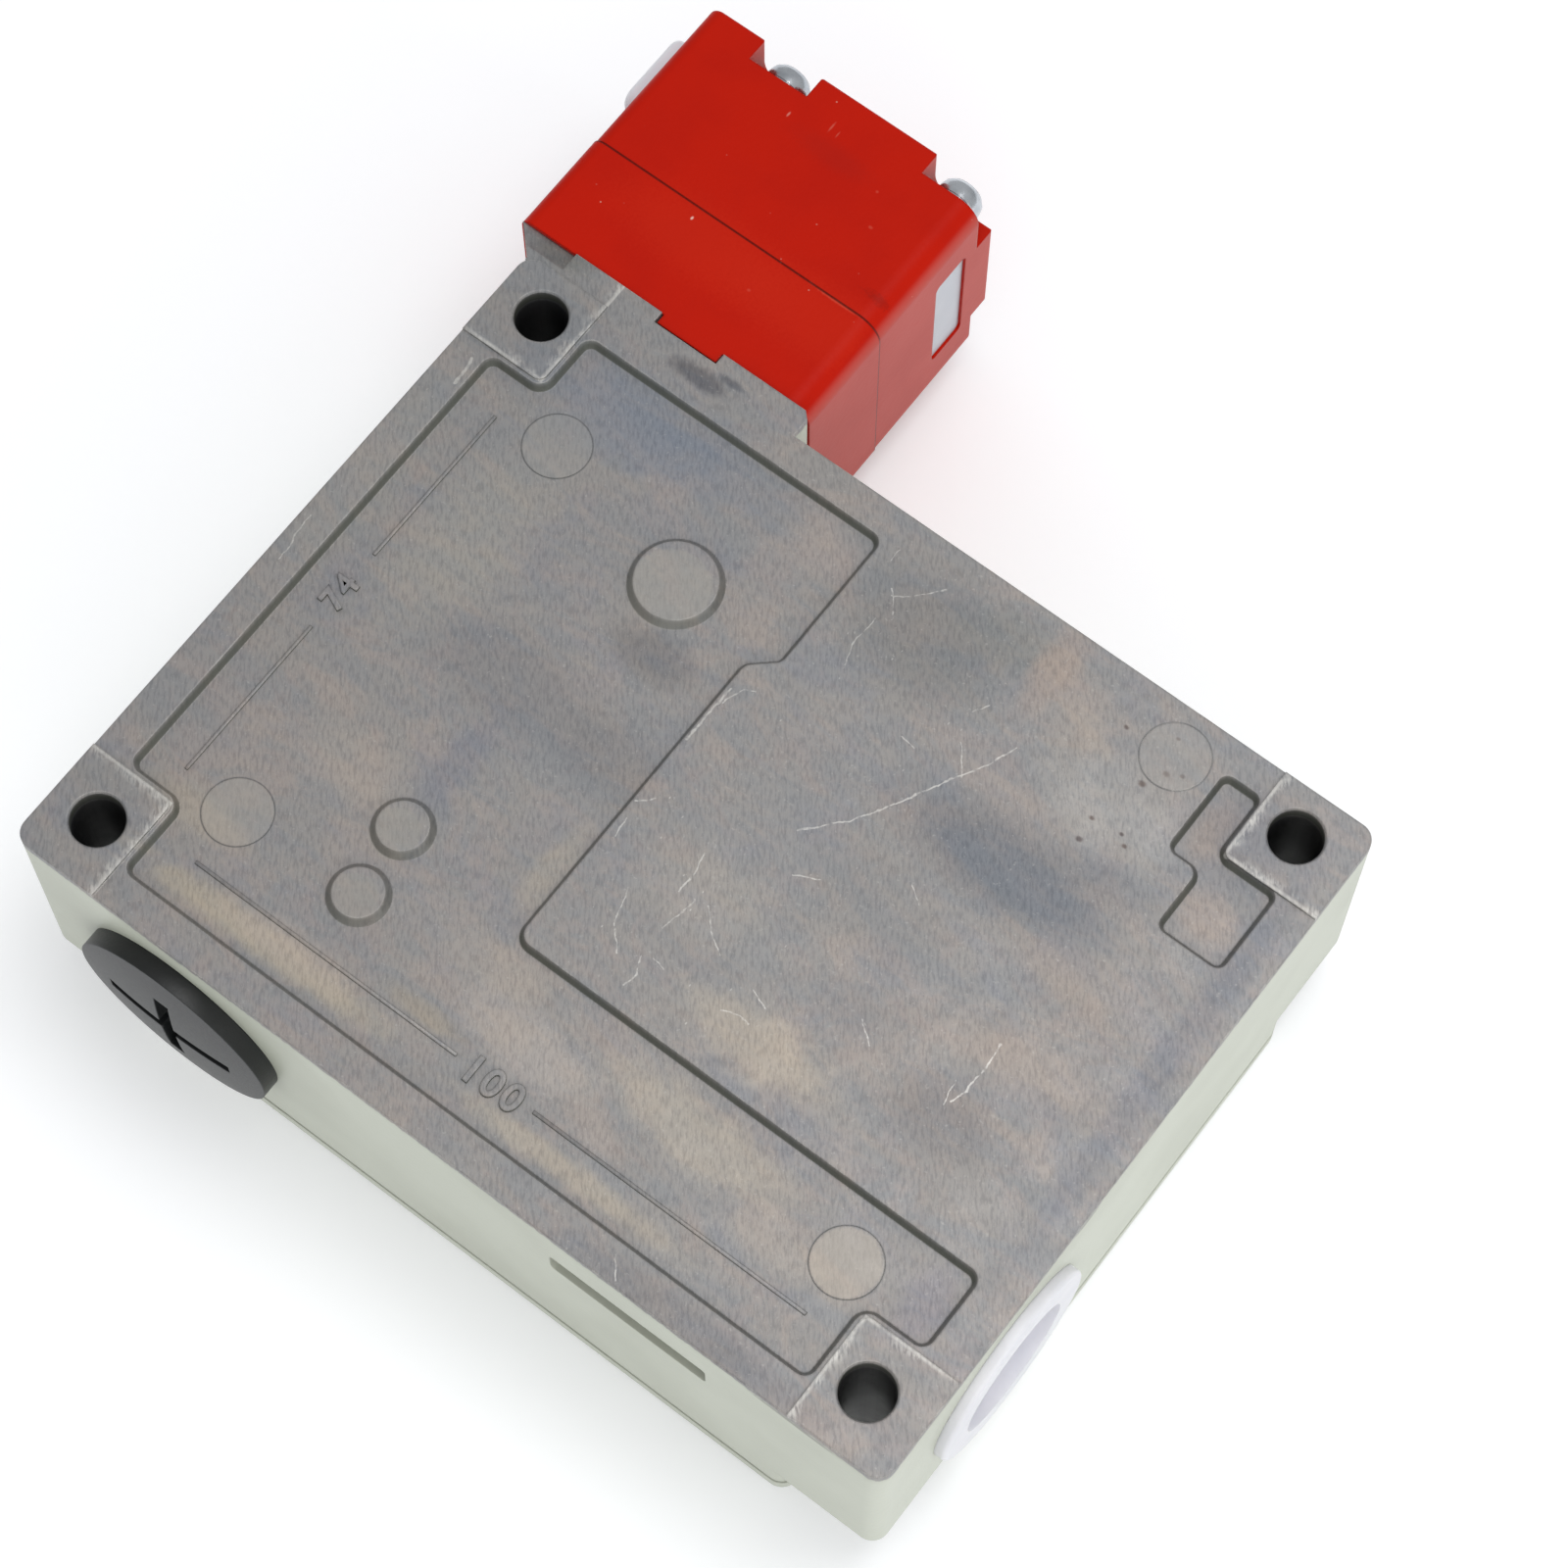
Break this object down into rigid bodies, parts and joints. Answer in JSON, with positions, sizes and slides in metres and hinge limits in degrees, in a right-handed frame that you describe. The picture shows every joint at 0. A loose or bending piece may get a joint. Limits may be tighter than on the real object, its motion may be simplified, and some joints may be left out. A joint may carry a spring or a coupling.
{
  "type": "safety door switch",
  "caption": "Flat die-cast door-switch housing with a two-part key head on a corner neck, conduit entries and a solenoid guard lock.",
  "frame": {"origin": "centre of the four mounting holes, on the mounting face", "axes": "+Z out of the mounting face, +Y towards the key head, +X to the right as seen from behind"},
  "size_m": [0.1209, 0.1271, 0.0372],
  "materials": {
    "housing_alloy": "raw die-cast back face with painted sides",
    "painted_cover": "satin greenish-beige paint",
    "red_paint": "satin red paint with a fine texture",
    "seal_rubber": "matt",
    "zinc_steel": "zinc plated, bright",
    "black_plastic": "matt, moulded",
    "white_plastic": "translucent white",
    "cam_alloy": "cast, smooth",
    "pin_steel": "turned",
    "spring_steel": "drawn wire",
    "ivory_plastic": "moulded",
    "dark_plastic": "moulded",
    "contact_brass": "stamped",
    "yoke_steel": "plated iron",
    "coil_wrap": "wound and taped"
  },
  "bodies": {
    "housing": {"rear_housing": "housing_alloy", "cover_gasket": "seal_rubber", "front_cover": "painted_cover", "cover_screws": "zinc_steel", "conduit_plug": "black_plastic", "plug_seal": "seal_rubber", "conduit_cap": "white_plastic", "head_base": "red_paint", "head_cap": "red_paint", "head_seal": "seal_rubber", "head_screws": "zinc_steel", "head_washers": "zinc_steel", "slot_plug": "white_plastic", "slot_insert": "white_plastic", "cam_pin": "pin_steel", "plunger_spring": "spring_steel", "switch_block": "dark_plastic", "fixed_contacts": "contact_brass", "contact_screws": "zinc_steel", "block_screws": "zinc_steel", "solenoid_frame": "yoke_steel", "solenoid_bobbin": "ivory_plastic", "solenoid_coil": "coil_wrap", "pole_piece": "yoke_steel", "yoke_screws": "zinc_steel", "core_spring": "spring_steel", "terminal_block": "dark_plastic", "terminal_clamps": "contact_brass", "terminal_screws": "zinc_steel", "row_screws": "zinc_steel", "ground_screw": "zinc_steel"},
    "cam": {"operating_cam": "cam_alloy"},
    "plunger": {"head_plunger": "pin_steel", "contact_slider": "ivory_plastic", "moving_contacts": "contact_brass"},
    "lock": {"solenoid_core": "yoke_steel", "lock_plate": "pin_steel"}
  },
  "joints": [
    {"name": "cam_turn", "type": "hinge", "parent": "housing", "child": "cam", "pos_m": [-0.0359, 0.062, -0.017], "axis": [0, 0, 1], "range_deg": [0, 50]},
    {"name": "plunger_slide", "type": "slide", "parent": "housing", "child": "plunger", "axis": [0, 1, 0], "range_m": [0, 0.003], "deforming": ["plunger_spring"]},
    {"name": "lock_slide", "type": "slide", "parent": "housing", "child": "lock", "axis": [1, 0, 0], "range_m": [0, 0.004], "stiffness_N_per_m": 300, "springref_m": -0.005, "deforming": ["core_spring"]}
  ],
  "couplings": [
    {"joint": "plunger_slide", "follows": "cam_turn", "m_per_rad": 0.003437}
  ]
}
